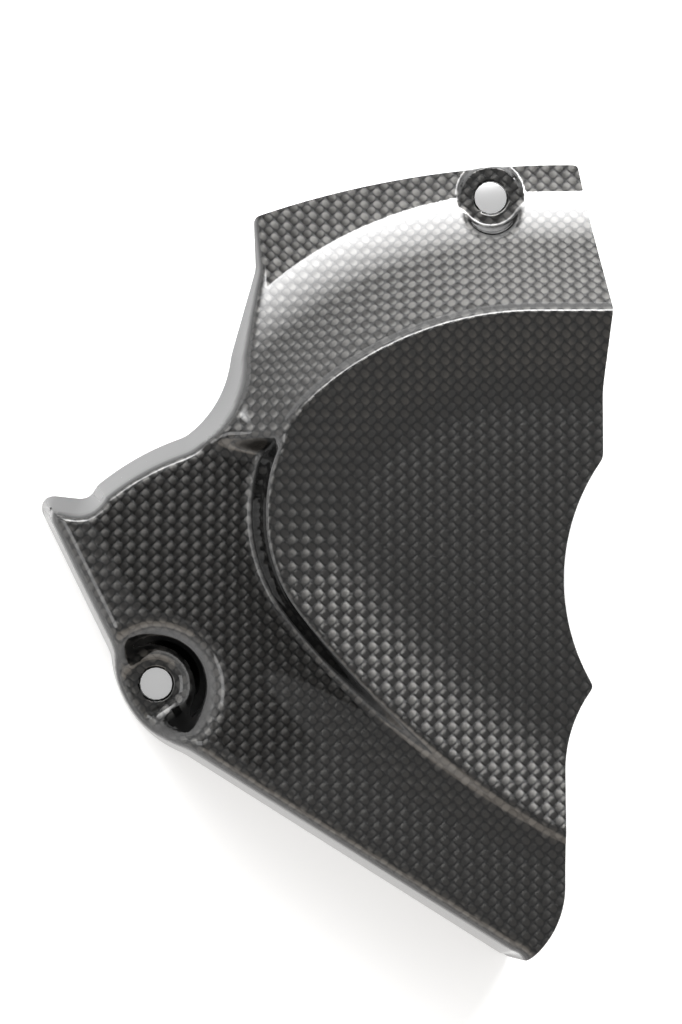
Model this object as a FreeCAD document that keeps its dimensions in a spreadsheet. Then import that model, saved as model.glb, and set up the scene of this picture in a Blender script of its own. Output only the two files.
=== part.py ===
import FreeCAD, Part

import math
import os

import Sketcher
from FreeCAD import Placement, Rotation, Vector

# Sprocket cover: one moulded carbon fibre shell, held by two bolts.
# Lengths are millimetres and angles degrees, the rim that meets the table lies at height 0 while the
# forms are built, and the finished shell is then set with its origin midway between the two bolt
# holes, on the plane where the bolt seats land. X runs along the chain, Z is the bolts' direction.

SIZES = {
    # Laminate and bolts
    "wall": 1.8,
    "bolt_span_x": 72.4,
    "bolt_span_y": 105.2,
    "bolt_hole_diameter": 7.0,
    # Heights of the outer skin above the rim
    "crest_height": 26.0,
    "dish_depth": 6.5,
    "deck_height": 16.5,
    "flange_height": 6.5,
    "seat_height": 6.5,
    # Slopes, measured from the rim plane
    "band_slope": 40.0,
    "ridge_slope": 74.0,
    "dish_slope": 22.7,
    "flange_slope": 15.0,
    "deck_rise": 4.8,
    "deck_azimuth": -62.0,
    "lobe_slope": 13.0,
    "apron_slope": 30.0,
    "apron_rise": 10.0,
    # Crest line round the dish: upper arc, nose arc and lower arc, each tangent to the next
    "crest_top": 26.3,
    "upper_radius": 70.0,
    "nose_x": 21.9,
    "nose_y": -16.1,
    "nose_radius": 34.0,
    "lower_radius": 165.0,
    "lower_x": 126.9,
    # Flange cone along the top edge
    "flange_x": 45.0,
    "flange_y": -43.7,
    "flange_radius": 93.0,
    # End of the shoulder above the lobe, and the deck's inner corner
    "shoulder_end_x": -10.5,
    "shoulder_end_y": 0.2,
    "shoulder_end_angle": 12.5,
    "deck_corner_x": -12.5,
    "deck_corner_y": -0.5,
    "deck_pivot_x": -28.4,
    "deck_pivot_y": -26.0,
    # Fall of the lobe towards its rim
    "fall_x": -43.5,
    "fall_y": -30.0,
    "fall_height": 16.2,
    "fall_azimuth": 6.6,
    # Ramp that softens the lower crest line towards the heel
    "apron_x": 4.0,
    "apron_y": -47.0,
    "apron_height": 19.5,
    "apron_azimuth": -46.0,
    # Rim of the lobe and of the lower edge
    "rim_draft": 10.0,
    "rim_far_x": 62.0,
    "rim_far_y": -126.8,
    "rim_bottom_x": -30.5,
    "rim_bottom_y": -68.2,
    "rim_lobe_x": -46.4,
    "rim_lobe_y": -46.5,
    "rim_lobe_radius": 25.0,
    "rim_tip_x": -63.4,
    "rim_tip_y": -11.4,
    # Wall of the hollow upper left side
    "notch_draft": 17.0,
    "ear_x": -51.0,
    "ear_y": -12.8,
    "cheek_x": -49.6,
    "cheek_y": -9.8,
    "neck_low_x": -30.3,
    "neck_low_y": 0.9,
    "cheek_radius": 60.0,
    "neck_high_x": -20.2,
    "neck_high_y": 18.5,
    "neck_radius": 24.0,
    "brow_x": -14.8,
    "brow_y": 37.5,
    "corner_x": -15.4,
    "corner_y": 52.0,
    # Trimmed edges along the top and the open right side
    "top_left_x": -15.6,
    "top_left_y": 48.6,
    "top_right_x": 55.2,
    "top_right_y": 59.9,
    "top_radius": 215.0,
    "crest_tip_x": 61.0,
    "crest_tip_y": 27.5,
    "chain_upper_x": 59.3,
    "chain_upper_y": 10.5,
    "chain_lower_x": 59.4,
    "chain_lower_y": -4.0,
    "scallop_radius": 44.0,
    "point_x": 57.4,
    "point_y": -52.5,
    "tail_top_x": 51.3,
    "tail_top_y": -70.0,
    "tail_radius": 30.0,
    "tail_low_x": 51.0,
    "tail_low_y": -93.0,
    "heel_x": 39.2,
    "heel_y": -112.0,
    "heel_radius": 20.0,
    # Bolt seats
    "seat_radius": 6.4,
    "recess_slope": 58.0,
    "boss_slope": 65.0,
    "recess_direction": 215.0,
    "recess_opening": 40.0,
    # Roundings of the outer skin
    "band_foot_round": 9.0,
    "ridge_foot_round": 3.0,
    "fall_round": 30.0,
    "dish_round": 12.0,
    "tip_round": 2.5,
    "mouth_round": 2.5,
    "ear_round": 3.0,
    # Reach of the cutting profiles past the part
    "reach": 125.0,
    "far_reach": 300.0,
}

# Limits for picking edges: what counts as touching and as level, and where along an edge it is tested
TOUCH = 0.01
LEVEL = 0.9999
EDGE_SHARES = (0.25, 0.5, 0.75)

document = FreeCAD.newDocument("sprocket_cover")
sheet = document.addObject("Spreadsheet::Sheet", "Sizes")
for row, (alias, number) in enumerate(SIZES.items(), start=1):
    sheet.set(f"A{row}", alias)
    sheet.set(f"B{row}", str(number))
    sheet.setAlias(f"B{row}", alias)
document.recompute()


def size(text):
    """Number behind a cell name, which may carry a minus sign."""
    if text.startswith("-"):
        return -SIZES[text[1:]]
    return SIZES[text]


def cell(text):
    """Expression for a cell name, which may carry a minus sign."""
    if text.startswith("-"):
        return f"-Sizes.{text[1:]}"
    return f"Sizes.{text}"


def point(name):
    return Vector(size(f"{name}_x"), size(f"{name}_y"), 0)


def new_sketch(body, name, height):
    """Sketch parallel to the rim plane, at a height given by an expression."""
    sketch = body.newObject("Sketcher::SketchObject", name)
    planes = [feature for feature in body.Origin.OriginFeatures if feature.Role == "XY_Plane"]
    sketch.AttachmentSupport = (planes[0], [""])
    sketch.MapMode = "FlatFace"
    sketch.setExpression("AttachmentOffset.Base.z", height)
    return sketch


def bind(sketch, kind, places, value, expression):
    """Dimension of a sketch, driven by an expression."""
    index = sketch.addConstraint(Sketcher.Constraint(kind, *places, value))
    sketch.setExpression(f"Constraints[{index}]", expression)


def arc_by_radius(start, end, radius, side):
    """Minor arc between two points that bulges to the left (side 1) or right (side -1) of the chord."""
    chord = end.sub(start)
    across = Vector(-chord.y, chord.x, 0).normalize()
    depth = math.sqrt(radius ** 2 - (chord.Length / 2) ** 2)
    centre = start.add(end).multiply(0.5).add(across.multiply(-side * depth))
    if side > 0:
        start, end = end, start
    return round_arc(centre, radius, start, end)


def outline(sketch, corners, arcs):
    """Closed outline through named corners; arcs gives (radius cell, side) after some corners."""
    places = [Vector(size(x), size(y), 0) for x, y in corners]
    count = len(corners)
    first_ends = []
    for index in range(count):
        start = places[index]
        end = places[(index + 1) % count]
        first_end = 1
        if index in arcs:
            radius, side = arcs[index]
            sketch.addGeometry(arc_by_radius(start, end, size(radius), side), False)
            first_end = 2 if side > 0 else 1
        else:
            sketch.addGeometry(Part.LineSegment(start, end), False)
        first_ends.append(first_end)
    for index in range(count):
        following = (index + 1) % count
        joint = (index, 3 - first_ends[index], following, first_ends[following])
        sketch.addConstraint(Sketcher.Constraint("Coincident", *joint))
    for index, (x, y) in enumerate(corners):
        bind(sketch, "DistanceX", (-1, 1, index, first_ends[index]), size(x), cell(x))
        bind(sketch, "DistanceY", (-1, 1, index, first_ends[index]), size(y), cell(y))
        if index in arcs:
            bind(sketch, "Radius", (index,), size(arcs[index][0]), cell(arcs[index][0]))


def named(name):
    return (f"{name}_x", f"{name}_y")


def on_circle(centre, radius, towards):
    """Point of a circle on the ray from its centre to another point."""
    return centre.add(towards.sub(centre).normalize().multiply(radius))


def round_arc(centre, radius, start, end):
    """Anticlockwise arc between two points of a circle."""
    first = math.atan2(start.y - centre.y, start.x - centre.x)
    last = math.atan2(end.y - centre.y, end.x - centre.x)
    if last < first:
        last += 2 * math.pi
    return Part.ArcOfCircle(Part.Circle(centre, Vector(0, 0, 1), radius), first, last)


def crest_outline(sketch, inset, number):
    """Crest line, moved in by an expression with its number beside it: level top line, upper arc,
    nose arc and lower arc, closed past the right side."""
    nose = point("nose")
    reach = size("reach")
    top = size("crest_top") - number
    upper_radius = size("upper_radius") - number
    nose_radius = size("nose_radius") - number
    lower_radius = size("lower_radius") - number
    upper_drop = top - upper_radius - nose.y
    upper_run = math.sqrt((upper_radius - nose_radius) ** 2 - upper_drop ** 2)
    upper = Vector(nose.x + upper_run, top - upper_radius, 0)
    lower_run = size("lower_x") - nose.x
    lower_rise = math.sqrt((lower_radius - nose_radius) ** 2 - lower_run ** 2)
    lower = Vector(size("lower_x"), nose.y + lower_rise, 0)
    start = Vector(reach, top, 0)
    level_end = Vector(upper.x, top, 0)
    upper_end = on_circle(upper, upper_radius, nose)
    nose_end = on_circle(lower, lower_radius, nose)
    lower_end = Vector(reach, lower.y - math.sqrt(lower_radius ** 2 - (reach - lower.x) ** 2), 0)
    sketch.addGeometry(Part.LineSegment(start, level_end), False)
    sketch.addGeometry(round_arc(upper, upper_radius, level_end, upper_end), False)
    sketch.addGeometry(round_arc(nose, nose_radius, upper_end, nose_end), False)
    sketch.addGeometry(round_arc(lower, lower_radius, nose_end, lower_end), False)
    sketch.addGeometry(Part.LineSegment(lower_end, start), False)
    for index in range(3):
        sketch.addConstraint(Sketcher.Constraint("Tangent", index, 2, index + 1, 1))
    sketch.addConstraint(Sketcher.Constraint("Coincident", 3, 2, 4, 1))
    sketch.addConstraint(Sketcher.Constraint("Coincident", 4, 2, 0, 1))
    sketch.addConstraint(Sketcher.Constraint("Horizontal", 0))
    sketch.addConstraint(Sketcher.Constraint("Vertical", 4))
    bind(sketch, "DistanceX", (-1, 1, 0, 1), reach, "Sizes.reach")
    bind(sketch, "DistanceY", (-1, 1, 0, 1), top, f"Sizes.crest_top - {inset}")
    bind(sketch, "Radius", (1,), upper_radius, f"Sizes.upper_radius - {inset}")
    bind(sketch, "Radius", (2,), nose_radius, f"Sizes.nose_radius - {inset}")
    bind(sketch, "Radius", (3,), lower_radius, f"Sizes.lower_radius - {inset}")
    bind(sketch, "DistanceX", (-1, 1, 2, 3), nose.x, "Sizes.nose_x")
    bind(sketch, "DistanceY", (-1, 1, 2, 3), nose.y, "Sizes.nose_y")
    bind(sketch, "DistanceX", (-1, 1, 3, 3), lower.x, "Sizes.lower_x")


def seat_circle(sketch, radius, number):
    """Circle about the upper bolt; the radius is an expression, with its number beside it."""
    bolt = Vector(size("bolt_span_x") / 2, size("bolt_span_y") / 2, 0)
    sketch.addGeometry(Part.Circle(bolt, Vector(0, 0, 1), number), False)
    bind(sketch, "DistanceX", (-1, 1, 0, 3), bolt.x, "Sizes.bolt_span_x / 2")
    bind(sketch, "DistanceY", (-1, 1, 0, 3), bolt.y, "Sizes.bolt_span_y / 2")
    bind(sketch, "Radius", (0,), number, radius)


def recess_outline(sketch, radius, number):
    """Round end about the lower bolt, open towards the rim of the lobe; the radius is an expression."""
    bolt = Vector(-size("bolt_span_x") / 2, -size("bolt_span_y") / 2, 0)
    angle = math.radians(size("recess_direction"))
    outward = Vector(math.cos(angle), math.sin(angle), 0)
    across = Vector(-outward.y, outward.x, 0) * number
    run = outward * size("recess_opening")
    first = bolt.add(across)
    last = bolt.sub(across)
    sketch.addGeometry(round_arc(bolt, number, first, last), False)
    sketch.addGeometry(Part.LineSegment(last, last.add(run)), False)
    sketch.addGeometry(Part.LineSegment(last.add(run), first.add(run)), False)
    sketch.addGeometry(Part.LineSegment(first.add(run), first), False)
    sketch.addConstraint(Sketcher.Constraint("Tangent", 0, 2, 1, 1))
    sketch.addConstraint(Sketcher.Constraint("Coincident", 1, 2, 2, 1))
    sketch.addConstraint(Sketcher.Constraint("Coincident", 2, 2, 3, 1))
    sketch.addConstraint(Sketcher.Constraint("Tangent", 3, 2, 0, 1))
    sketch.addConstraint(Sketcher.Constraint("Perpendicular", 1, 2))
    bind(sketch, "DistanceX", (-1, 1, 0, 3), bolt.x, "-Sizes.bolt_span_x / 2")
    bind(sketch, "DistanceY", (-1, 1, 0, 3), bolt.y, "-Sizes.bolt_span_y / 2")
    bind(sketch, "Radius", (0,), number, radius)
    bind(sketch, "Distance", (1,), size("recess_opening"), "Sizes.recess_opening")
    bind(sketch, "Angle", (1,), angle, "Sizes.recess_direction")


def flange_circle(sketch):
    sketch.addGeometry(Part.Circle(point("flange"), Vector(0, 0, 1), size("flange_radius")), False)
    bind(sketch, "DistanceX", (-1, 1, 0, 3), size("flange_x"), "Sizes.flange_x")
    bind(sketch, "DistanceY", (-1, 1, 0, 3), size("flange_y"), "Sizes.flange_y")
    bind(sketch, "Radius", (0,), size("flange_radius"), "Sizes.flange_radius")


def shoulder_end_outline(sketch, inset, number):
    """Everything below the slanted line where the shoulder ends above the lobe, moved up by an inset."""
    reach = size("far_reach")
    angle = math.radians(size("shoulder_end_angle"))
    level = size("shoulder_end_y") + number / math.cos(angle)
    left = Vector(-reach, level + (size("shoulder_end_x") + reach) * math.tan(angle), 0)
    right = Vector(reach, level + (size("shoulder_end_x") - reach) * math.tan(angle), 0)
    corners = [left, Vector(-reach, -reach, 0), Vector(reach, -reach, 0), right]
    for index, corner in enumerate(corners):
        sketch.addGeometry(Part.LineSegment(corner, corners[(index + 1) % 4]), False)
    for index in range(4):
        sketch.addConstraint(Sketcher.Constraint("Coincident", index, 2, (index + 1) % 4, 1))
    level_cell = f"Sizes.shoulder_end_y + {inset} / cos(Sizes.shoulder_end_angle)"
    slope = "tan(Sizes.shoulder_end_angle)"
    bind(sketch, "DistanceX", (-1, 1, 0, 1), -reach, "-Sizes.far_reach")
    bind(sketch, "DistanceY", (-1, 1, 0, 1), left.y,
         f"{level_cell} + (Sizes.shoulder_end_x + Sizes.far_reach) * {slope}")
    bind(sketch, "DistanceX", (-1, 1, 3, 1), reach, "Sizes.far_reach")
    bind(sketch, "DistanceY", (-1, 1, 3, 1), right.y,
         f"{level_cell} + (Sizes.shoulder_end_x - Sizes.far_reach) * {slope}")
    sketch.addConstraint(Sketcher.Constraint("Vertical", 0))
    sketch.addConstraint(Sketcher.Constraint("Horizontal", 1))
    bind(sketch, "DistanceY", (-1, 1, 1, 1), -reach, "-Sizes.far_reach")
    sketch.addConstraint(Sketcher.Constraint("Vertical", 2))


def deck_outline(sketch):
    outline(sketch, [
        ("-reach", "reach"),
        ("-reach", "-reach"),
        ("reach", "-reach"),
        ("reach", "deck_corner_y"),
        named("deck_corner"),
    ], {})


def square_outline(sketch):
    outline(sketch, [
        ("-far_reach", "far_reach"),
        ("-far_reach", "-far_reach"),
        ("far_reach", "-far_reach"),
        ("far_reach", "far_reach"),
    ], {})


def rim_outline(sketch):
    """Outside of the lower edge and the lobe, from past the heel to the tip."""
    outline(sketch, [
        named("rim_far"),
        named("rim_bottom"),
        named("rim_lobe"),
        named("rim_tip"),
        ("-far_reach", "far_reach"),
        ("-far_reach", "-far_reach"),
        ("rim_far_x", "-far_reach"),
    ], {1: ("rim_lobe_radius", 1)})


def notch_outline(sketch):
    """Outside of the hollow upper left side, from the tip to the top corner."""
    outline(sketch, [
        ("-far_reach", "rim_tip_y"),
        named("rim_tip"),
        named("ear"),
        named("cheek"),
        named("neck_low"),
        named("neck_high"),
        named("brow"),
        named("corner"),
        ("corner_x", "far_reach"),
        ("-far_reach", "far_reach"),
    ], {3: ("cheek_radius", 1), 4: ("neck_radius", -1)})


def trim_outline(sketch):
    """Trimmed edges: top edge, open right side with its scallops, and heel."""
    outline(sketch, [
        named("top_left"),
        named("top_right"),
        named("crest_tip"),
        named("chain_upper"),
        named("chain_lower"),
        named("point"),
        named("tail_top"),
        named("tail_low"),
        named("heel"),
        ("heel_x", "-reach"),
        ("-reach", "-reach"),
        ("-reach", "top_left_y"),
    ], {0: ("top_radius", 1), 4: ("scallop_radius", -1), 5: ("tail_radius", -1), 7: ("heel_radius", 1)})


def tapered(name, draw, height, length, taper, upward):
    """Body made by extruding one drawn profile up or down, with sides that lean out by the taper."""
    body = document.addObject("PartDesign::Body", name)
    sketch = new_sketch(body, f"{name}_profile", height)
    draw(sketch)
    pad = body.newObject("PartDesign::Pad", f"{name}_pad")
    pad.Profile = sketch
    pad.Reversed = not upward
    pad.setExpression("Length", length)
    pad.setExpression("TaperAngle", taper)
    return body


def sloping_sky(name, pivot, azimuth, height, slope):
    """Everything above a plane that rises by the slope towards the azimuth, from a height at its pivot."""
    body = tapered(name, square_outline, height, "2 * Sizes.crest_height", "0", True)
    sketch = document.getObject(f"{name}_profile")
    heading = math.radians(size(azimuth))
    axis = Vector(math.sin(heading), -math.cos(heading), 0)
    sketch.AttachmentOffset = Placement(point(pivot), Rotation(axis, size(slope)))
    sketch.setExpression("AttachmentOffset.Base.x", f"Sizes.{pivot}_x")
    sketch.setExpression("AttachmentOffset.Base.y", f"Sizes.{pivot}_y")
    sketch.setExpression("AttachmentOffset.Rotation.Angle", f"Sizes.{slope}")
    return body


def combine(kind, name, *operands):
    """Boolean of two or more objects."""
    feature = document.addObject(f"Part::{kind}", name)
    if kind == "MultiFuse":
        feature.Shapes = list(operands)
    else:
        feature.Base, feature.Tool = operands
    return feature


def sloping_faces(body):
    """Faces of a body that are not level, as one shape."""
    faces = []
    for face in body.Shape.Faces:
        first, last, low, high = face.ParameterRange
        normal = face.normalAt((first + last) / 2, (low + high) / 2)
        if abs(normal.z) < LEVEL:
            faces.append(face)
    return Part.Compound(faces)


def meeting_edges(shape, pairs):
    """Names of a shape's edges that lie on the sloping faces of both bodies of a pair."""
    skins = [[sloping_faces(body) for body in pair] for pair in pairs]
    names = []
    for number, edge in enumerate(shape.Edges, start=1):
        first, last = edge.ParameterRange
        places = [Part.Vertex(edge.valueAt(first + (last - first) * share)) for share in EDGE_SHARES]
        for pair in skins:
            if all(skin.distToShape(place)[0] < TOUCH for skin in pair for place in places):
                names.append(f"Edge{number}")
                break
    return names


def add_fillet(body, name, base, names, radius):
    fillet = body.newObject("PartDesign::Fillet", name)
    fillet.Base = (base, names)
    fillet.setExpression("Radius", radius)


def rounded(name, base, radius, *pairs):
    """Body that continues a solid, with the edges rounded in which the bodies of each pair meet."""
    document.recompute()
    body = document.addObject("PartDesign::Body", f"{name}_body")
    body.BaseFeature = base
    document.recompute()
    add_fillet(body, name, body.Group[0], meeting_edges(base.Shape, pairs), f"Sizes.{radius}")
    return body


def round_floor(body, radius):
    """Rounding between the sides and the lower face of a cutting body, but for its far right end."""
    document.recompute()
    pad = body.Tip
    floor = pad.Shape.BoundBox.ZMin
    names = []
    for number, edge in enumerate(pad.Shape.Edges, start=1):
        box = edge.BoundBox
        if box.ZMax < floor + TOUCH and box.XMin < size("reach") / 2:
            names.append(f"Edge{number}")
    add_fillet(body, f"{body.Name}_round", pad, names, radius)


def round_corners(body, radius, *corners):
    """Rounding of the upright edges of a cutting body that start at named points of its profile."""
    document.recompute()
    pad = body.Tip
    height = document.getObject(f"{body.Name}_profile").AttachmentOffset.Base.z
    places = [Part.Vertex(point(corner).add(Vector(0, 0, height))) for corner in corners]
    names = []
    for number, edge in enumerate(pad.Shape.Edges, start=1):
        upright = edge.BoundBox.ZLength > size("crest_height")
        if upright and any(edge.distToShape(place)[0] < TOUCH for place in places):
            names.append(f"Edge{number}")
    add_fillet(body, f"{body.Name}_round", pad, names, radius)


def form(name, inner):
    """Solid under the outer skin, or under the laminate's inner face, one wall further in."""
    depth = "Sizes.wall" if inner else "0"
    thickness = size("wall") if inner else 0.0

    def below(height, slope):
        """Height of a sloping face, let down so that it lies one wall inside the outer skin."""
        return f"Sizes.{height} - {depth} / cos(Sizes.{slope})"

    def lean(slope):
        """Taper of a face that slopes by so much from the rim plane."""
        return f"90 - Sizes.{slope}"

    def moved(draw, sign, slope):
        """Profile of a sloping face at its own height, moved in (sign 1) or out (sign -1) by one wall."""
        inset = f"({sign}) * {depth} / sin(Sizes.{slope})"
        return lambda sketch: draw(sketch, inset, sign * thickness / math.sin(math.radians(size(slope))))

    def seat_profile(draw, sign, slope):
        """Profile of a seat's foot: it shrinks under a boss (sign -1) and widens in a recess (sign 1)."""
        change = sign * thickness * math.tan(math.radians(size(slope)) / 2)
        radius = f"Sizes.seat_radius + ({sign}) * {depth} * tan(Sizes.{slope} / 2)"
        return lambda sketch: draw(sketch, radius, size("seat_radius") + change)

    tall = "2 * Sizes.crest_height"
    crest = "Sizes.crest_height"
    seat = f"Sizes.seat_height - {depth}"

    # Deck: lobe and lower band under a gently rising plane, with a fall towards the lobe's rim and an
    # apron along the lower crest line, which rises out of the deck towards the heel
    slab = tapered(f"{name}_slab", deck_outline, f"-{depth}", tall, "0", True)
    sky = sloping_sky(f"{name}_sky", "deck_pivot", "deck_azimuth", below("deck_height", "deck_rise"),
                      "deck_rise")
    fall = sloping_sky(f"{name}_fall", "fall", "fall_azimuth", below("fall_height", "lobe_slope"),
                       "lobe_slope")
    skirt = tapered(f"{name}_skirt", moved(crest_outline, 1, "apron_slope"), crest, crest,
                    lean("apron_slope"), False)
    ramp = sloping_sky(f"{name}_ramp", "apron", "apron_azimuth", below("apron_height", "apron_rise"),
                       "apron_rise")
    apron = combine("Cut", f"{name}_apron", skirt, ramp)
    open_sky = combine("Cut", f"{name}_open_sky", sky, apron)
    level_deck = combine("Cut", f"{name}_level_deck", slab, open_sky)
    deck = combine("Cut", f"{name}_deck", level_deck, fall)

    # Shoulder: broad conical band above the dish, ended above the lobe
    band = tapered(f"{name}_band", moved(crest_outline, 1, "band_slope"), crest, crest,
                   lean("band_slope"), False)
    end = tapered(f"{name}_shoulder_end", moved(shoulder_end_outline, 1, "ridge_slope"), crest, crest,
                  "Sizes.ridge_slope - 90", False)
    shoulder = combine("Cut", f"{name}_shoulder", band, end)

    # Ridge round the dish, flange along the top edge, and boss of the upper bolt. Feet and corners are
    # rounded on the outer skin only, the inner face keeps sharp ones, but for the floor of the dish.
    ridge = tapered(f"{name}_ridge", moved(crest_outline, 1, "ridge_slope"), crest, crest,
                    lean("ridge_slope"), False)
    flange = tapered(f"{name}_flange", flange_circle, below("flange_height", "flange_slope"),
                     "Sizes.flange_height", lean("flange_slope"), False)
    boss = tapered(f"{name}_boss", seat_profile(seat_circle, -1, "boss_slope"), seat,
                   "Sizes.seat_height", lean("boss_slope"), False)
    plain = combine("MultiFuse", f"{name}_plain", deck, shoulder, ridge, flange)
    if not inner:
        plain = rounded("band_foot", plain, "band_foot_round", (band, flange))
        plain = rounded("ridge_foot", plain, "ridge_foot_round", (ridge, sky), (ridge, ramp),
                        (end, sky))
        plain = rounded("fall_top", plain, "fall_round", (fall, sky))
    raised = combine("MultiFuse", f"{name}_raised", plain, boss)

    # Dish, bolt recesses and outside walls
    dish = tapered(f"{name}_dish", moved(crest_outline, -1, "dish_slope"), crest,
                   f"Sizes.dish_depth + {depth}", "Sizes.dish_slope - 90", False)
    round_floor(dish, f"Sizes.dish_round + {depth}")
    upper_recess = tapered(f"{name}_upper_recess", seat_profile(seat_circle, 1, "boss_slope"), seat,
                           tall, lean("boss_slope"), True)
    lower_recess = tapered(f"{name}_lower_recess", seat_profile(recess_outline, 1, "recess_slope"), seat,
                           tall, lean("recess_slope"), True)
    notch = tapered(f"{name}_notch", notch_outline, f"-{depth} / sin(Sizes.notch_draft)", tall,
                    "Sizes.notch_draft", True)
    rim = tapered(f"{name}_rim", rim_outline, f"-{depth} / sin(Sizes.rim_draft)", tall,
                  "Sizes.rim_draft", True)
    if not inner:
        round_corners(notch, "Sizes.ear_round", "ear", "cheek")
    cutters = combine("MultiFuse", f"{name}_cutters", dish, upper_recess, lower_recess, notch, rim)
    carved = combine("Cut", f"{name}_form", raised, cutters)
    if not inner:
        carved = rounded("tip", carved, "tip_round", (rim, notch))
        carved = rounded("mouth", carved, "mouth_round", (lower_recess, sky), (lower_recess, fall))
    return carved


outer = form("outer", False)
inner = form("inner", True)
shell = combine("Cut", "shell", outer, inner)
trim = tapered("trim", trim_outline, "-Sizes.wall", "2 * Sizes.crest_height", "0", True)
trimmed = combine("Common", "trimmed", shell, trim)
bolts = []
for sign, title in (("", "upper_bolt"), ("-", "lower_bolt")):
    bolt = document.addObject("Part::Cylinder", title)
    bolt.setExpression("Radius", "Sizes.bolt_hole_diameter / 2")
    bolt.setExpression("Height", "Sizes.crest_height")
    bolt.setExpression("Placement.Base.x", cell(f"{sign}bolt_span_x") + " / 2")
    bolt.setExpression("Placement.Base.y", cell(f"{sign}bolt_span_y") + " / 2")
    bolts.append(bolt)
cover = combine("Cut", "sprocket_cover", trimmed, combine("MultiFuse", "bolts", *bolts))
cover.setExpression("Placement.Base.z", "Sizes.wall - Sizes.seat_height")
document.recompute()

for item in document.Objects:
    if "Invalid" in item.State or "Error" in item.State:
        raise RuntimeError(f"{item.Name} failed: {item.State}")
if cover.Shape.isNull() or not cover.Shape.isValid() or len(cover.Shape.Solids) != 1:
    raise RuntimeError("the cover is not one valid solid")

os.makedirs("parts", exist_ok=True)
cover.Shape.exportStep("parts/sprocket_cover.step")
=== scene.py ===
import math

import bpy
import numpy as np
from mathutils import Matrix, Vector
from mathutils.geometry import delaunay_2d_cdt


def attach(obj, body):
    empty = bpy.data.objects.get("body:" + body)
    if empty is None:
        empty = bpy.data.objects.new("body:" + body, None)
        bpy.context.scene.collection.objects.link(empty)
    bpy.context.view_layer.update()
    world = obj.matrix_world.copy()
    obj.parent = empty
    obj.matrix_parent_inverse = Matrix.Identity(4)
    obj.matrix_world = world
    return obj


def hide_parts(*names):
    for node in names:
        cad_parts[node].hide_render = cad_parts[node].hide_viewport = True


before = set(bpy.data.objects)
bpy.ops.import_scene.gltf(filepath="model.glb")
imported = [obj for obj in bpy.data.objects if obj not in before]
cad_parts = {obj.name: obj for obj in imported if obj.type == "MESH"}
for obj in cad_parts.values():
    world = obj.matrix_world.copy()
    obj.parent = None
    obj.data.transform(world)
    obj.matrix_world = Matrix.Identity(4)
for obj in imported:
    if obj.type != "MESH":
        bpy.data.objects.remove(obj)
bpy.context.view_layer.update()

# Sizes are millimetres and degrees, as in the solid: heights count from the rim, plan points from the
# middle between the two bolts. The finished mesh is in metres.
MILLIMETRE = 0.001
WALL = 1.8
SEAT_HEIGHT = 6.5
SEAT_RADIUS = 6.4
HOLE_RADIUS = 3.5
UPPER_BOLT = (36.2, 52.6)
LOWER_BOLT = (-36.2, -52.6)
BOLTS = (UPPER_BOLT, LOWER_BOLT)
CREST_HEIGHT = 26.0
DISH_DEPTH = 6.5
FLANGE_HEIGHT = 6.5
FLANGE_RADIUS = 93.0
FLANGE_CAP = 9.0
BOSS_REACH = 3 * SEAT_RADIUS
RECESS_HEADING = 215.0
RIM_SHIFT = WALL - SEAT_HEIGHT

# Crest line round the dish: a level line, then three arcs by centre, radius, first and last angle
CREST_TOP = 26.3
CREST_END_X = 62.0
UPPER_ARC = ((45.0, -43.7), 70.0, 90.0, 129.9)
NOSE_ARC = ((21.9, -16.1), 34.0, 129.9, 216.7)
LOWER_ARC = ((126.9, 62.2), 165.0, 216.7, 243.0)

# Slanted line where the shoulder ends, and the deck's inner corner, past which the deck drops away
SHOULDER_END = (-10.5, 0.2)
SHOULDER_TILT = 12.5
DECK_CORNER = (-12.5, -0.5)
CORNER_RUN = (125.5, 112.5)
CORNER_DROP = 1.5

SLOPE = {
    "dish": 22.7,
    "ridge": 74.0,
    "band": 40.0,
    "apron": 30.0,
    "flange": 15.0,
    "boss": 65.0,
    "recess": 58.0,
}
# Sloping planes: a point of the plan, the azimuth in which the plane rises, its slope, the point's height
PLANES = {
    "deck": ((-28.4, -26.0), -62.0, 4.8, 16.5),
    "fall": ((-43.5, -30.0), 6.6, 13.0, 16.2),
    "ramp": ((4.0, -47.0), -46.0, 10.0, 19.5),
}
# Heights over which two forms blend where they meet
SOFT = {
    "dish_floor": 2.2,
    "shoulder_end": 8.0,
    "fall": 0.8,
    "apron": 4.0,
    "apron_foot": 3.0,
    "band_foot": 5.0,
    "ridge_foot": 6.0,
    "sides": 7.0,
    "boss": 1.4,
    "seat": 1.6,
    "recess": 4.0,
}
# The crest is sharpest along the upper arc, and softer by these heights from the first y to the last
CREST_SOFT = 2.0
CREST_SOFTER = [(3.0, 8.0, -6.0), (2.0, -30.0, -60.0)]

PLAN = {
    "tip_low": (-61.42, -15.48),
    "tip_high": (-58.89, -11.91),
    "ear_in": (-53.14, -12.56),
    "ear_out": (-50.09, -10.85),
    "cheek_in": (-49.89, -10.41),
    "cheek_out": (-49.08, -9.37),
    "neck_low": (-30.3, 0.9),
    "neck_high": (-20.2, 18.5),
    "brow": (-14.8, 37.5),
    "top_left": (-15.25, 48.65),
    "top_right": (55.2, 59.9),
    "crest_tip": (61.0, 27.5),
    "chain_upper": (59.3, 10.5),
    "chain_lower": (59.4, -4.0),
    "point": (57.4, -52.5),
    "tail_top": (51.3, -70.0),
    "tail_low": (51.0, -93.0),
    "heel": (39.2, -112.2),
    "rim_bottom": (-30.5, -68.2),
    "rim_lobe": (-46.4, -46.5),
}
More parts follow.
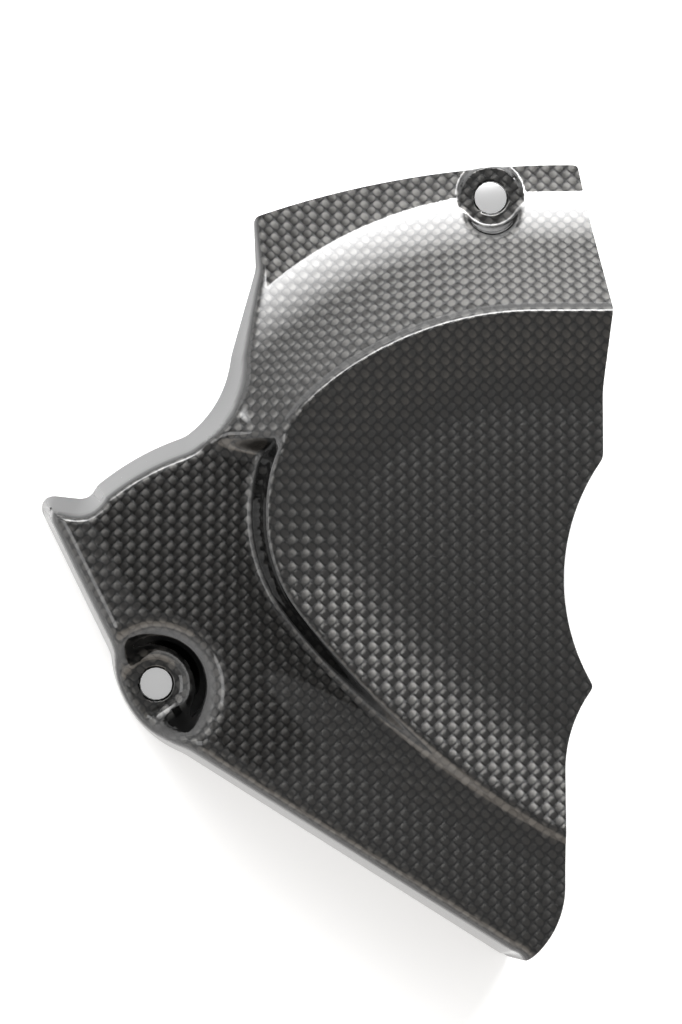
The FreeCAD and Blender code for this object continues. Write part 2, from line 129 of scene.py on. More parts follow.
# Runs of the outline, clockwise: end point, radius (0 for a straight run), bulge to the left or right
# of the run, and what the run is: a drafted wall of the rim or notch, or a trimmed edge
RUNS = [
    ("tip_high", 2.5, 1, "notch"),
    ("ear_in", 0, 0, "notch"),
    ("ear_out", 3.0, -1, "notch"),
    ("cheek_in", 0, 0, "notch"),
    ("cheek_out", 3.0, 1, "notch"),
    ("neck_low", 60.0, 1, "notch"),
    ("neck_high", 24.0, -1, "notch"),
    ("brow", 0, 0, "notch"),
    ("top_left", 0, 0, "notch"),
    ("top_right", 215.0, 1, "cut"),
    ("crest_tip", 0, 0, "cut"),
    ("chain_upper", 0, 0, "cut"),
    ("chain_lower", 0, 0, "cut"),
    ("point", 44.0, -1, "cut"),
    ("tail_top", 30.0, -1, "cut"),
    ("tail_low", 0, 0, "cut"),
    ("heel", 20.0, 1, "cut"),
    ("rim_bottom", 0, 0, "rim"),
    ("rim_lobe", 25.0, 1, "rim"),
    ("tip_low", 0, 0, "rim"),
]
DRAFT = {"rim": 10.0, "notch": 17.0}
EDGE_ROUND = {"rim": 3.0, "notch": 1.2}
LEAST_ROUND = 0.3
OUTLINE_STEP = 0.5
CORNER_SOFTNESS = 0.7
NEAR_ZERO = 1e-6


def slope(degrees):
    return math.tan(math.radians(degrees))


def run_points(start, end, radius, side):
    """Points along a straight run or an arc, without its end."""
    start = np.array(start)
    end = np.array(end)
    chord = end - start
    length = np.hypot(*chord)
    steps = max(int(round(length / OUTLINE_STEP)), 2)
    share = np.arange(steps) / steps
    if not radius:
        return start + share[:, None] * chord
    across = np.array([-chord[1], chord[0]]) / length
    depth = math.sqrt(radius ** 2 - (length / 2) ** 2)
    centre = (start + end) / 2 - side * depth * across
    half = math.asin(length / 2 / radius)
    middle = math.atan2(side * across[1], side * across[0])
    angles = middle + side * half - share * side * 2 * half
    return centre + radius * np.stack([np.cos(angles), np.sin(angles)], axis=1)


def soften(values, width):
    """Values round a closed loop, averaged over a width given in steps."""
    reach = int(3 * width) + 1
    offsets = np.arange(-reach, reach + 1)
    weights = np.exp(-0.5 * (offsets / width) ** 2)
    weights /= weights.sum()
    total = np.zeros_like(values)
    for offset, weight in zip(offsets, weights):
        total += weight * np.roll(values, offset, axis=0)
    return total


def outline():
    """Plan outline with softened corners, and the kind of run at each point."""
    pieces = []
    kinds = []
    start = PLAN["tip_low"]
    for name, radius, side, kind in RUNS:
        points = run_points(start, PLAN[name], radius, side)
        pieces.append(points)
        kinds += [kind] * len(points)
        start = PLAN[name]
    return soften(np.concatenate(pieces), CORNER_SOFTNESS / OUTLINE_STEP), np.array(kinds)


def inward(loop):
    """Unit normals of a clockwise loop, towards its inside."""
    along = np.roll(loop, -1, axis=0) - np.roll(loop, 1, axis=0)
    along /= np.hypot(along[:, 0], along[:, 1])[:, None]
    return np.stack([along[:, 1], -along[:, 0]], axis=1)


def run_distance(points, starts, ends):
    """Distance from each point to the nearest of some straight pieces."""
    nearest = np.full(len(points), np.inf)
    for start, end in zip(starts, ends):
        along = end - start
        offset = points - start
        share = np.clip(offset @ along / (along @ along), 0, 1)
        gap = offset - share[:, None] * along
        nearest = np.minimum(nearest, np.einsum("ij,ij->i", gap, gap))
    return np.sqrt(nearest)


def loop_distance(points, loop):
    """Distance from each point to a closed loop."""
    return run_distance(points, loop, np.roll(loop, -1, axis=0))


def bolt_distance(points, bolt):
    return np.hypot(points[:, 0] - bolt[0], points[:, 1] - bolt[1])


def soft_max(first, second, width):
    blend = np.maximum(width - np.abs(first - second), 0)
    return np.maximum(first, second) + blend ** 2 / (4 * width)


def soft_min(first, second, width):
    return -soft_max(-first, -second, width)


def from_arc(x, y, arc):
    """Signed distance from the circle of an arc, positive outside."""
    centre, radius = arc[:2]
    return np.hypot(x - centre[0], y - centre[1]) - radius


def crest_distance(x, y):
    """Signed distance from the crest line, positive outside: level line, upper, nose and lower arcs."""
    centre, _, first, last = NOSE_ARC
    nose_angle = np.degrees(np.arctan2(y - centre[1], x - centre[0])) % 360
    upper = np.where(x > UPPER_ARC[0][0], y - CREST_TOP, from_arc(x, y, UPPER_ARC))
    rest = np.maximum(upper, from_arc(x, y, LOWER_ARC))
    return np.where((nose_angle > first) & (nose_angle < last), from_arc(x, y, NOSE_ARC), rest)


def end_distance(x, y):
    """Signed distance from the slanted line where the shoulder ends, positive on the shoulder's side."""
    tilt = math.radians(SHOULDER_TILT)
    return (y - SHOULDER_END[1]) * math.cos(tilt) + (x - SHOULDER_END[0]) * math.sin(tilt)


def rising_plane(x, y, pivot, azimuth, rise, height):
    """Height of a plane that has the given height at the pivot and rises towards the azimuth."""
    heading = math.radians(azimuth)
    along = (x - pivot[0]) * math.cos(heading) + (y - pivot[1]) * math.sin(heading)
    return height + along * slope(rise)


def rounded_edge(top, distance, draft, radius):
    """Height of a drafted wall, its rounded upper edge and the top, at a distance from the wall's foot."""
    sine = math.sin(math.radians(draft))
    cosine = math.cos(math.radians(draft))
    lean = radius - distance * cosine
    fall = radius - top
    middle = lean * sine + fall
    spread = np.maximum(middle ** 2 - (1 + sine ** 2) * (lean ** 2 + fall ** 2 - radius ** 2), 0)
    curve = (-middle + np.sqrt(spread)) / (1 + sine ** 2)
    wall = distance * cosine / sine
    height = np.where(distance * cosine - top * sine >= radius, top, curve)
    return np.where(top - wall >= radius, wall, np.minimum(height, top))


def skin_height(points, depth):
    """Height above the rim of the skin inside the walls, or of the face that lies deeper by the depth."""
    x = points[:, 0]
    y = points[:, 1]
    outside = crest_distance(x, y)

    def level(height, degrees):
        return height - depth / math.cos(math.radians(degrees))

    def cone(name):
        return level(CREST_HEIGHT, SLOPE[name]) - outside * slope(SLOPE[name])

    def plane(name):
        pivot, azimuth, rise, height = PLANES[name]
        return rising_plane(x, y, pivot, azimuth, rise, level(height, rise))

    dish_side = level(CREST_HEIGHT, SLOPE["dish"]) + outside * slope(SLOPE["dish"])
    dish_floor = np.full_like(x, CREST_HEIGHT - DISH_DEPTH - depth)
    dish = soft_max(dish_side, dish_floor, SOFT["dish_floor"])

    end = level(CREST_HEIGHT, SLOPE["ridge"]) + end_distance(x, y) * slope(SLOPE["ridge"])
    shoulder = soft_min(cone("band"), end, SOFT["shoulder_end"])
    from_middle = np.hypot(x - UPPER_ARC[0][0], y - UPPER_ARC[0][1])
    flange = level(FLANGE_HEIGHT, SLOPE["flange"]) - (from_middle - FLANGE_RADIUS) * slope(SLOPE["flange"])
    upper_side = soft_max(shoulder, np.minimum(flange, FLANGE_CAP - depth), SOFT["band_foot"])

    apron = soft_min(cone("apron"), plane("ramp"), SOFT["apron"])
    deck = soft_max(soft_min(plane("deck"), plane("fall"), SOFT["fall"]), apron, SOFT["apron_foot"])
    past_corner = (x - DECK_CORNER[0]) * CORNER_RUN[0] + (y - DECK_CORNER[1]) * CORNER_RUN[1]
    deck = deck - CORNER_DROP * np.maximum(past_corner, 0) / math.hypot(*CORNER_RUN)
    lower_side = soft_max(cone("ridge"), deck, SOFT["ridge_foot"])

    raised = soft_max(upper_side, lower_side, SOFT["sides"])
    softness = CREST_SOFT
    for more, first, last in CREST_SOFTER:
        softness = softness + more * np.clip((first - y) / (first - last), 0, 1)
    skin = soft_min(raised, dish, softness)

    seat = SEAT_HEIGHT - depth

    def edge_shift(name):
        """How far the edge between the seat and its wall moves sideways at the depth."""
        return depth * math.tan(math.radians(SLOPE[name]) / 2)

    def seat_recess(gap, name, width):
        """Level seat round a bolt, and the wall that rises outside it."""
        wall = seat + (gap - SEAT_RADIUS - edge_shift(name)) * slope(SLOPE[name])
        return soft_max(np.full_like(x, seat), wall, width)

    from_upper = bolt_distance(points, UPPER_BOLT)
    boss_side = seat - (from_upper - SEAT_RADIUS + edge_shift("boss")) * slope(SLOPE["boss"])
    with_boss = soft_max(skin, np.minimum(seat, boss_side), SOFT["boss"])
    skin = np.where(from_upper < BOSS_REACH, with_boss, skin)
    skin = soft_min(skin, seat_recess(from_upper, "boss", SOFT["seat"]), SOFT["seat"])

    heading = math.radians(RECESS_HEADING)
    offset_x = x - LOWER_BOLT[0]
    offset_y = y - LOWER_BOLT[1]
    along = offset_x * math.cos(heading) + offset_y * math.sin(heading)
    across = np.abs(offset_y * math.cos(heading) - offset_x * math.sin(heading))
    from_lower = np.where(along > 0, across, np.hypot(offset_x, offset_y))
    skin = soft_min(skin, seat_recess(from_lower, "recess", SOFT["recess"]), SOFT["recess"])
    return np.minimum(skin, CREST_HEIGHT - depth)


def height_of(points, rim_gap, notch_gap, depth):
    """Height of the whole outer skin with its drafted walls, or of the face that lies deeper."""
    skin = skin_height(points, depth)
    for kind, gap in (("rim", rim_gap), ("notch", notch_gap)):
        skin = rounded_edge(skin, gap, DRAFT[kind], max(EDGE_ROUND[kind] - depth, LEAST_ROUND))
    return np.maximum(skin, 0)


LOOP, KINDS = outline()


def wall_gaps(points, inset):
    """Distances from the feet of the rim's and the notch's walls, less the inset of the inner face."""
    gaps = []
    for kind in ("rim", "notch"):
        chosen = np.flatnonzero(KINDS == kind)
        ends = (chosen + 1) % len(LOOP)
        gap = run_distance(points, LOOP[chosen], LOOP[ends])
        gaps.append(np.maximum(gap - inset / math.cos(math.radians(DRAFT[kind])), 0))
    return gaps


def inside(points, loop):
    """Which points lie inside a closed loop."""
    crossings = np.zeros(len(points), dtype=int)
    for start, end in zip(loop, np.roll(loop, -1, axis=0)):
        if start[1] == end[1]:
            continue
        spans = (start[1] > points[:, 1]) != (end[1] > points[:, 1])
        at = start[0] + (points[:, 1] - start[1]) * (end[0] - start[0]) / (end[1] - start[1])
        crossings += spans & (points[:, 0] < at)
    return crossings % 2 == 1


# Share of a move inwards that a point has to keep as its distance from the loop
KEPT_SHARE = 0.97


def inset_loop(inset):
    """Outline moved in where it is the foot of a wall, and left where it is a trimmed edge."""
    moves = np.zeros(len(LOOP))
    for kind, draft in DRAFT.items():
        moves[KINDS == kind] = inset / math.cos(math.radians(draft))
    moved = LOOP + inward(LOOP) * moves[:, None]
    kept = np.flatnonzero(loop_distance(moved, LOOP) > KEPT_SHARE * moves - NEAR_ZERO)
    places = np.arange(len(LOOP))
    wrapped = np.concatenate([kept - len(LOOP), kept, kept + len(LOOP)])
    for axis in range(2):
        column = moved[:, axis]
        moved[:, axis] = np.interp(places, wrapped, np.tile(column[kept], 3))
    return moved


def circle(centre, radius, count):
    angles = np.arange(count) * 2 * math.pi / count
    return np.array(centre) + radius * np.stack([np.cos(angles), np.sin(angles)], axis=1)


def thinned(candidates, taken, spacing):
    """Candidates that keep a spacing from the points already taken."""
    cells = set()
    for column, row in np.floor(taken / spacing).astype(int):
        for side in (-1, 0, 1):
            for level in (-1, 0, 1):
                cells.add((column + side, row + level))
    keys = np.floor(candidates / spacing).astype(int)
    kept = [tuple(key) not in cells for key in keys]
    return candidates[np.array(kept)]


HOLE_POINTS = 40
# Rows of points: distances from the border of the outer and inner faces, and from the bolts' middles
FINE_RINGS = (0.2, 0.45, 0.75, 1.1, 1.5, 2.0, 2.5, 3.1, 3.7, 4.4, 5.1, 5.9, 6.7)
COARSE_RINGS = (0.3, 0.7, 1.2, 1.8, 2.5, 3.3, 4.2)
SEAT_RINGS = (4.2, 5.0, 5.7, 6.3, 6.9, 7.5, 8.2, 9.0, 9.8, 10.6, 11.4, 12.2, 13.0, 13.8)
# Distances of the rows of points from the crest line and from the shoulder's end
CREST_OFFSETS = (-1.5, -1.1, -0.8, -0.55, -0.3, -0.1, 0.1, 0.3, 0.55, 0.8, 1.1, 1.5, 1.9, 2.3, 2.7, 3.1,
                 3.6, 4.2)
END_OFFSETS = (-4.6, -4.1, -3.7, -3.3, -2.9, -2.5, -2.1, -1.7, -1.2, -0.7, -0.2, 0.3, 0.8)
END_REACH = (-14.0, 2.0)


def form_rows(spacing):
    """Rows of points along the crest line and along the end of the shoulder."""
    rows = []
    for offset in CREST_OFFSETS:
        level_x = np.arange(UPPER_ARC[0][0], CREST_END_X, spacing)
        rows.append(np.stack([level_x, np.full_like(level_x, CREST_TOP + offset)], axis=1))
        for centre, radius, first, last in (UPPER_ARC, NOSE_ARC, LOWER_ARC):
            angles = np.radians(np.arange(first, last, math.degrees(spacing / radius)))
            ring = np.stack([np.cos(angles), np.sin(angles)], axis=1)
            rows.append(np.array(centre) + (radius + offset) * ring)
    tilt = math.radians(SHOULDER_TILT)
    along = np.arange(*END_REACH, spacing)
    for offset in END_OFFSETS:
        row_x = SHOULDER_END[0] + along * math.cos(tilt) + offset * math.sin(tilt)
        row_y = SHOULDER_END[1] - along * math.sin(tilt) + offset * math.cos(tilt)
        row = np.stack([row_x, row_y], axis=1)
        rows.append(row[crest_distance(row_x, row_y) > CREST_OFFSETS[-1]])
    return np.concatenate(rows)


# How close points of the mesh may come: rows to the border, rows to fixed points, and the shares of a
# ring's offset, of the grid's spacing and of a hole's radius that are kept free
BORDER_GAP = 0.15
ROW_GAP = 0.16
RING_SHARE = 0.93
GRID_SHARE = 0.45
HOLE_SHARE = 0.99
SAME_POINT = 1e-7


def border_rows(border, spacing, rings):
    """Rows of points along the border, round the bolts and along the forms, inside the border."""
    normals = inward(border)
    rows = []
    for offset in rings:
        row = border + normals * offset
        rows.append(row[loop_distance(row, border) > RING_SHARE * offset])
    for bolt in BOLTS:
        for radius in SEAT_RINGS:
            rows.append(circle(bolt, radius, int(2 * math.pi * radius / spacing)))
    rows.append(form_rows(spacing))
    rows = np.concatenate(rows)
    rows = rows[inside(rows, border)]
    return rows[loop_distance(rows, border) > BORDER_GAP]


def grid_points(border, spacing):
    """Points of a staggered grid inside the border."""
    low = border.min(axis=0)
    high = border.max(axis=0)
    columns = np.arange(low[0], high[0], spacing)
    grid_x, grid_y = np.meshgrid(columns, np.arange(low[1], high[1], spacing))
    grid_x[1::2] += spacing / 2
    grid = np.stack([grid_x.ravel(), grid_y.ravel()], axis=1)
    return grid[inside(grid, border)]


def sheet(inset, depth, spacing, rings):
    """One face of the laminate: plan points, heights, triangles, and the loops along its borders."""
    border = inset_loop(inset)
    loops = [border] + [circle(bolt, HOLE_RADIUS, HOLE_POINTS) for bolt in BOLTS]
    fixed = np.concatenate(loops)
    rows = thinned(border_rows(border, spacing, rings), fixed, ROW_GAP)
    taken = np.concatenate([fixed, rows])
    grid = thinned(grid_points(border, spacing), taken, GRID_SHARE * spacing)
    points = np.concatenate([taken, grid])
    for bolt in BOLTS:
        points = points[bolt_distance(points, bolt) > HOLE_RADIUS - NEAR_ZERO]
    edges = []
    first = 0
    for loop in loops:
        count = len(loop)
        edges += [(first + index, first + (index + 1) % count) for index in range(count)]
        first += count
    result = delaunay_2d_cdt([Vector(point) for point in points], edges, [], 0, SAME_POINT)
    plan = np.array([tuple(point) for point in result[0]])
    triangles = np.array(result[2])
    middles = plan[triangles].mean(axis=1)
    kept = inside(middles, border)
    for bolt in BOLTS:
        kept &= bolt_distance(middles, bolt) > HOLE_RADIUS * HOLE_SHARE
    rim_gap, notch_gap = wall_gaps(plan, inset)
    heights = height_of(plan, rim_gap, notch_gap, depth)
    places = {}
    for index, sources in enumerate(result[3]):
        for source in sources:
            places[source] = index
    borders = []
    first = 0
    for loop in loops:
        borders.append([places[first + index] for index in range(len(loop))])
        first += len(loop)
    return plan, heights, triangles[kept], borders


CLOTH_STIFFNESS = 6.0
# Plan grid on which the cloth is laid, and the point of the dish floor from which lengths count
CLOTH_STEP = 0.5
CLOTH_X = (-70.0, 70.0)
CLOTH_Y = (-120.0, 66.0)
CLOTH_START = (30.0, -20.0)
# Keeps a place between two grid points short of the last one
LAST_PLACE = 1.001


def drape(plan, depth):
    """Cloth coordinates in millimetres: arc lengths along X and Y over the skin from the dish floor.
    The cloth runs on past the walls, where only resin shows."""
    step = CLOTH_STEP
    xs = np.arange(*CLOTH_X, step)
    ys = np.arange(*CLOTH_Y, step)
    grid_x, grid_y = np.meshgrid(xs, ys)
    points = np.stack([grid_x.ravel(), grid_y.ravel()], axis=1)
    heights = np.maximum(skin_height(points, depth), 0).reshape(grid_x.shape)
    offsets = np.arange(-3 * CLOTH_STIFFNESS, 3 * CLOTH_STIFFNESS + step, step)
    weights = np.exp(-0.5 * (offsets / CLOTH_STIFFNESS) ** 2)
    weights /= weights.sum()
    margin = len(offsets) // 2
    for axis in (0, 1):
        margins = [(0, 0), (0, 0)]
        margins[axis] = (margin, margin)
        padded = np.pad(heights, margins, "edge")
        heights = np.apply_along_axis(np.convolve, axis, padded, weights, "valid")
    lengths = []
    for axis, places, start in ((1, xs, CLOTH_START[0]), (0, ys, CLOTH_START[1])):
        rise = np.gradient(heights, step, axis=axis)
        total = np.cumsum(np.sqrt(1 + rise ** 2) * step, axis=axis)
        origin = np.abs(places - start).argmin()
        lengths.append(total - np.take(total, [origin], axis=axis))
    column = np.clip((plan[:, 0] - xs[0]) / step, 0, len(xs) - LAST_PLACE)
    row = np.clip((plan[:, 1] - ys[0]) / step, 0, len(ys) - LAST_PLACE)
    left = column.astype(int)
    low = row.astype(int)
    across = column - left
    up = row - low
    found = []
    for total in lengths:
        lower = total[low, left] * (1 - across) + total[low, left + 1] * across
        upper = total[low + 1, left] * (1 - across) + total[low + 1, left + 1] * across
        found.append(lower * (1 - up) + upper * up)
    return np.stack(found, axis=1)


OUTER_SPACING = 0.8
INNER_SPACING = 1.3
SHARP_ANGLE = 50.0
# Places of the materials: outer skin, inner face, trimmed edge
COATED = 0
BARE = 1
TRIMMED = 2


def build_cover():
    """Outer skin, inner face and the edges between them, as one closed mesh with cloth coordinates."""
    outer = sheet(0.0, 0.0, OUTER_SPACING, FINE_RINGS)
    inner = sheet(WALL, WALL, INNER_SPACING, COARSE_RINGS)
    outer_count = len(outer[0])
    plan = np.concatenate([outer[0], inner[0]])
    heights = np.concatenate([outer[1], inner[1]])
    vertices = np.column_stack([plan, heights + RIM_SHIFT]) * MILLIMETRE
    faces = [tuple(triangle) for triangle in outer[2]]
    slots = [COATED] * len(faces)
    faces += [tuple(triangle[::-1] + outer_count) for triangle in inner[2]]
    slots += [BARE] * (len(faces) - len(slots))
    for top_loop, low_loop in zip(outer[3], inner[3]):
        count = len(top_loop)
        for index in range(count):
            following = (index + 1) % count
            low_first = low_loop[index] + outer_count
            low_second = low_loop[following] + outer_count
            faces.append((top_loop[index], top_loop[following], low_second, low_first))
    slots += [TRIMMED] * (len(faces) - len(slots))
    mesh = bpy.data.meshes.new("cover_shell")
    mesh.from_pydata(vertices.tolist(), [], faces)
    mesh.polygons.foreach_set("material_index", slots)
    cloth = np.concatenate([drape(outer[0], 0.0), drape(inner[0], WALL)])
    layer = mesh.uv_layers.new(name="cloth")
    corners = np.zeros(len(mesh.loops), dtype=int)
    mesh.loops.foreach_get("vertex_index", corners)
    layer.data.foreach_set("uv", cloth[corners].ravel())
    mesh.update()
    mesh.shade_smooth()
    mesh.set_sharp_from_angle(angle=math.radians(SHARP_ANGLE))
    cover = bpy.data.objects.new("cover_shell", mesh)
    bpy.context.scene.collection.objects.link(cover)
    return cover


def add_node(tree, kind, settings=None, inputs=None):
    """New node with some settings, and inputs that are numbers, colours or other nodes' outputs."""
    node = tree.nodes.new(kind)
    for name, value in (settings or {}).items():
        setattr(node, name, value)
    for name, value in (inputs or {}).items():
        if isinstance(value, bpy.types.NodeSocket):
            tree.links.new(value, node.inputs[name])
        else:
            node.inputs[name].default_value = value
    return node


def calc(tree, operation, first, second=0.0, third=0.0):
    node = add_node(tree, "ShaderNodeMath", {"operation": operation}, {0: first, 1: second, 2: third})
    return node.outputs[0]


def smooth_step(tree, value, start, end, low=0.0, high=1.0):
    """Smooth passage from a low level to a high one while the value goes from start to end."""
    node = add_node(tree, "ShaderNodeMapRange", {"interpolation_type": "SMOOTHSTEP"},
                    {0: value, 1: start, 2: end, 3: low, 4: high})
    return node.outputs[0]


def mix_colours(tree, share, first, second):
    node = add_node(tree, "ShaderNodeMix", {"data_type": "RGBA"}, {"Factor": share, 6: first, 7: second})
    return node.outputs[2]


def new_material(name, fill):
    """Material with one principled shader, whose inputs the fill gives for the material's node tree."""
    material = bpy.data.materials.new(name)
    material.use_nodes = True
    tree = material.node_tree
    tree.nodes.clear()
    output = tree.nodes.new("ShaderNodeOutputMaterial")
    shader = add_node(tree, "ShaderNodeBsdfPrincipled", inputs=fill(tree))
    tree.links.new(shader.outputs[0], output.inputs[0])
    return material


TOW = 2.0
# Form of a float: bend of its crown in radians at the ends, and how much its sides fall off
CROWN_BEND = 1.45
SIDE_FALL = 0.45
SIDE_POWER = 4.0


def weave(tree):
    """Plain weave at 45 degrees: the float's height, which tow is on top, and a point's place along and
    across the float, from -1 to 1."""
    cloth = add_node(tree, "ShaderNodeUVMap", {"uv_map": "cloth"}).outputs[0]
    parts = add_node(tree, "ShaderNodeSeparateXYZ", inputs={0: cloth}).outputs
    scale = 1 / (TOW * math.sqrt(2))
    first = calc(tree, "MULTIPLY", calc(tree, "ADD", parts[0], parts[1]), scale)
    second = calc(tree, "MULTIPLY", calc(tree, "SUBTRACT", parts[1], parts[0]), scale)
    cells = calc(tree, "ADD", calc(tree, "FLOOR", first), calc(tree, "FLOOR", second))
    on_top = calc(tree, "FLOORED_MODULO", cells, 2.0)
    below = calc(tree, "SUBTRACT", 1.0, on_top)

    def place(count):
        """Place inside a cell, from -1 at one side to 1 at the other."""
        return calc(tree, "SUBTRACT", calc(tree, "MULTIPLY", calc(tree, "FRACT", count), 2.0), 1.0)

    def chosen(top, low):
        """The first value where the second family of tows is on top, else the second value."""
        return calc(tree, "ADD", calc(tree, "MULTIPLY", top, on_top), calc(tree, "MULTIPLY", low, below))

    first_place = place(first)
    second_place = place(second)
    along = chosen(second_place, first_place)
    across = chosen(first_place, second_place)
    crown = calc(tree, "COSINE", calc(tree, "MULTIPLY", along, CROWN_BEND))
    side = calc(tree, "POWER", calc(tree, "ABSOLUTE", across), SIDE_POWER)
    shoulder = calc(tree, "SUBTRACT", 1.0, calc(tree, "MULTIPLY", SIDE_FALL, side))
    pillow = calc(tree, "MULTIPLY", crown, shoulder)
    return pillow, on_top, along, across


# Cloth shows where the surface is flat enough, by the upright share of its normal; steeper is plain resin
CLOTH_FADE = (0.55, 0.8)
LEAST_CLOTH = 0.02
FLOAT_RELIEF = 0.00012
# Turns of the gloss for the two families of tows, as shares of a full turn
FIRST_TURN = 0.375
TURN_BETWEEN = 0.25
# Darker gap round a float, partly the resin between tows and partly painted shade that leaves a lighter
# painted highlight on the float's crown: weights of the squared places along and across it, and where
# their sum fades over
GAP_SHADE_ALONG = 0.75
GAP_SHADE_ACROSS = 1.25
GAP_SHADE_FADE = (0.3, 1.05)
FLOAT_COLOUR = (0.06, 0.0585, 0.056, 1)
GAP_AND_PAINTED_SHADE_COLOUR = (0.026, 0.026, 0.026, 1)
RESIN_COLOUR = (0.01, 0.01, 0.01, 1)


def carbon(name, coat, roughness):
    """Woven carbon fibre, under a smooth clear coat or bare."""

    def fill(tree):
        pillow, on_top, along, across = weave(tree)
        normal = add_node(tree, "ShaderNodeNewGeometry").outputs["Normal"]
        upright = add_node(tree, "ShaderNodeSeparateXYZ", inputs={0: normal}).outputs[2]
        cloth = smooth_step(tree, calc(tree, "ABSOLUTE", upright), *CLOTH_FADE)
        bump = add_node(tree, "ShaderNodeBump", inputs={
            "Strength": cloth,
            "Distance": FLOAT_RELIEF,
            "Height": pillow,
        })
        tangent = add_node(tree, "ShaderNodeTangent", {"direction_type": "UV_MAP", "uv_map": "cloth"})
        woven = calc(tree, "MULTIPLY", on_top, calc(tree, "GREATER_THAN", cloth, LEAST_CLOTH))
        turn = calc(tree, "ADD", FIRST_TURN, calc(tree, "MULTIPLY", woven, TURN_BETWEEN))
        # Painted shade and highlight: the base colour is lighter on each float's crown and darker towards
        # its edges, standing in for the crown's curve catching the light; the darker edges are also partly
        # the resin between the tows
        length = calc(tree, "MULTIPLY", calc(tree, "MULTIPLY", along, along), GAP_SHADE_ALONG)
        width = calc(tree, "MULTIPLY", calc(tree, "MULTIPLY", across, across), GAP_SHADE_ACROSS)
        gap = smooth_step(tree, calc(tree, "ADD", length, width), *GAP_SHADE_FADE)
        float_and_painted_shade = mix_colours(tree, gap, FLOAT_COLOUR, GAP_AND_PAINTED_SHADE_COLOUR)
        return {
            "Base Color": mix_colours(tree, cloth, RESIN_COLOUR, float_and_painted_shade),
            "Metallic": 1.0,
            "Specular Tint": (0.3, 0.3, 0.3, 1),
            "Roughness": roughness,
            "Anisotropic": 1.0,
            "Anisotropic Rotation": turn,
            "Tangent": tangent.outputs[0],
            "Normal": bump.outputs[0],
            "Coat Weight": coat,
            "Coat Roughness": 0.025,
            "Coat IOR": 1.5,
        }

    return new_material(name, fill)


def cut_edge():
    """Trimmed edge of the laminate: dark resin."""

    def fill(_):
        return {
            "Base Color": (0.03, 0.03, 0.03, 1),
            "Roughness": 0.4,
            "Coat Weight": 0.4,
            "Coat Roughness": 0.2,
        }

    return new_material("cut_edge", fill)


cover = build_cover()
for finish in (carbon("coated_carbon", 1.0, 0.37), carbon("bare_carbon", 0.0, 0.55), cut_edge()):
    cover.data.materials.append(finish)
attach(cover, "root")
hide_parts("sprocket_cover")


FLOOR_REACH = 4.0
FLOOR_DROP = 0.0001
FLOOR_GLOW = 0.4


def floor_fill(tree):
    """Pale and matt, with a glow that the camera and reflections see and that lights nothing else."""
    light = add_node(tree, "ShaderNodeLightPath").outputs
    seen = calc(tree, "MAXIMUM", light["Is Camera Ray"], light["Is Glossy Ray"])
    seen = calc(tree, "MAXIMUM", seen, light["Is Transmission Ray"])
    return {
        "Base Color": (0.8, 0.8, 0.8, 1),
        "Roughness": 0.9,
        "Specular IOR Level": 0.1,
        "Emission Color": (1, 1, 1, 1),
        "Emission Strength": calc(tree, "MULTIPLY", seen, FLOOR_GLOW),
    }


def build_floor():
    """Large pale floor that shows as white and keeps a soft shadow."""
    mesh = bpy.data.meshes.new("floor")
    height = RIM_SHIFT * MILLIMETRE - FLOOR_DROP
    signs = ((-1, -1), (1, -1), (1, 1), (-1, 1))
    corners = [(side * FLOOR_REACH, end * FLOOR_REACH, height) for side, end in signs]
    mesh.from_pydata(corners, [], [(0, 1, 2, 3)])
    floor = bpy.data.objects.new("floor", mesh)
    bpy.context.scene.collection.objects.link(floor)
    mesh.materials.append(new_material("floor_white", floor_fill))
    return floor


build_floor()


SIDE_FADE = 1.5


def add_panel(name, place, width, depth, power, colour, fade=0.0):
    """Soft rectangular studio light, aimed at the part; with a fade it dims towards its lower edge and
    towards one end."""
    lamp = bpy.data.lights.new(name, "AREA")
    lamp.shape = "RECTANGLE"
    lamp.size = width
    lamp.size_y = depth
    lamp.energy = power
    lamp.color = colour
    if fade:
        lamp.use_nodes = True
        tree = lamp.node_tree
        spot = add_node(tree, "ShaderNodeNewGeometry").outputs["Parametric"]
        parts = add_node(tree, "ShaderNodeSeparateXYZ", inputs={0: spot}).outputs
        rising = calc(tree, "POWER", parts[1], fade)
        sideways = calc(tree, "SUBTRACT", 1.0, calc(tree, "POWER", parts[0], SIDE_FADE))
        strength = calc(tree, "MULTIPLY", rising, sideways)
        tree.links.new(strength, tree.nodes["Emission"].inputs["Strength"])
    panel = bpy.data.objects.new(name, lamp)
    panel.location = place
    panel.rotation_euler = (-Vector(place)).to_track_quat("-Z", "Y").to_euler()
    bpy.context.scene.collection.objects.link(panel)


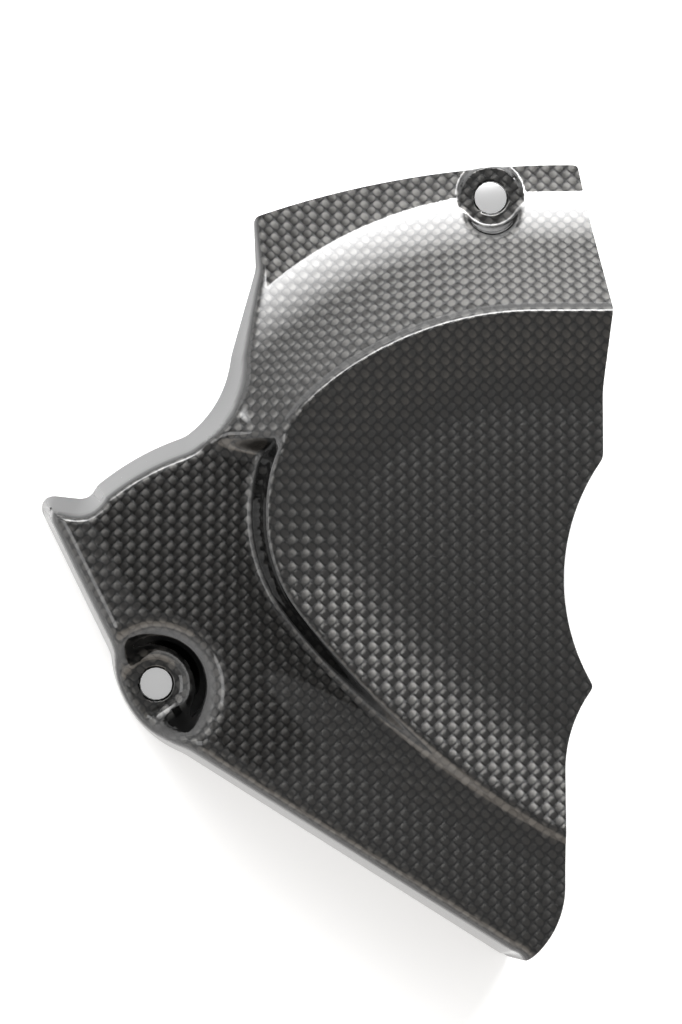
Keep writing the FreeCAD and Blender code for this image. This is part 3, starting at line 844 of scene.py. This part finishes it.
WHITE = (1, 1, 1)
WARM = (1.0, 0.88, 0.75)
add_panel("upper_softbox", (-0.1, 0.83, 0.352), width=1.7, depth=0.48, power=125.0, colour=WHITE, fade=1.3)
add_panel("lower_softbox", (-0.1, -0.83, 0.36), width=1.2, depth=0.5, power=2.4, colour=WARM)
add_panel("left_panel", (-0.8, -0.1, 0.5), width=0.5, depth=0.3, power=1.5, colour=WHITE)

CEILING = 0.42
# Dark patch of the ceiling: the way to its middle, its level, and the angles over which it fades
PATCH = (-0.2, 0.2, 1.0)
PATCH_LEVEL = 0.02
PATCH_FADE = (9.8, 8.8)
# Pale band round the horizon: its level, and the angles above the horizon over which it fades
HORIZON = 1.1
HORIZON_FADE = (22.0, 27.0)


def build_world():
    """Grey ceiling with one dark patch, up and to the left of straight above, and a pale horizon."""
    world = bpy.data.worlds.new("studio")
    bpy.context.scene.world = world
    world.use_nodes = True
    tree = world.node_tree
    direction = add_node(tree, "ShaderNodeTexCoord").outputs["Generated"]
    patch = Vector(PATCH).normalized()
    facing = add_node(tree, "ShaderNodeVectorMath", {"operation": "DOT_PRODUCT"}, {0: direction, 1: patch})
    patch_fade = [math.cos(math.radians(angle)) for angle in PATCH_FADE]
    ceiling = smooth_step(tree, facing.outputs["Value"], *patch_fade, CEILING, PATCH_LEVEL)
    height = add_node(tree, "ShaderNodeSeparateXYZ", inputs={0: direction}).outputs[2]
    horizon_fade = [math.sin(math.radians(angle)) for angle in HORIZON_FADE]
    horizon = smooth_step(tree, height, *horizon_fade, HORIZON, 0.0)
    background = tree.nodes["Background"]
    background.inputs["Color"].default_value = (*WHITE, 1)
    tree.links.new(calc(tree, "MAXIMUM", ceiling, horizon), background.inputs["Strength"])


build_world()

# The photograph looks straight down on the part, as a camera without rotation does
CAMERA_PLACE = (0.00381, -0.01545, 0.6648)
CAMERA_LENS = 107.8
SENSOR_HEIGHT = 36.0
view = bpy.data.cameras.new("camera")
view.sensor_fit = "VERTICAL"
view.sensor_height = SENSOR_HEIGHT
view.lens = CAMERA_LENS
camera = bpy.data.objects.new("camera", view)
camera.location = CAMERA_PLACE
bpy.context.scene.collection.objects.link(camera)
bpy.context.scene.camera = camera
bpy.context.scene.view_settings.view_transform = "Standard"
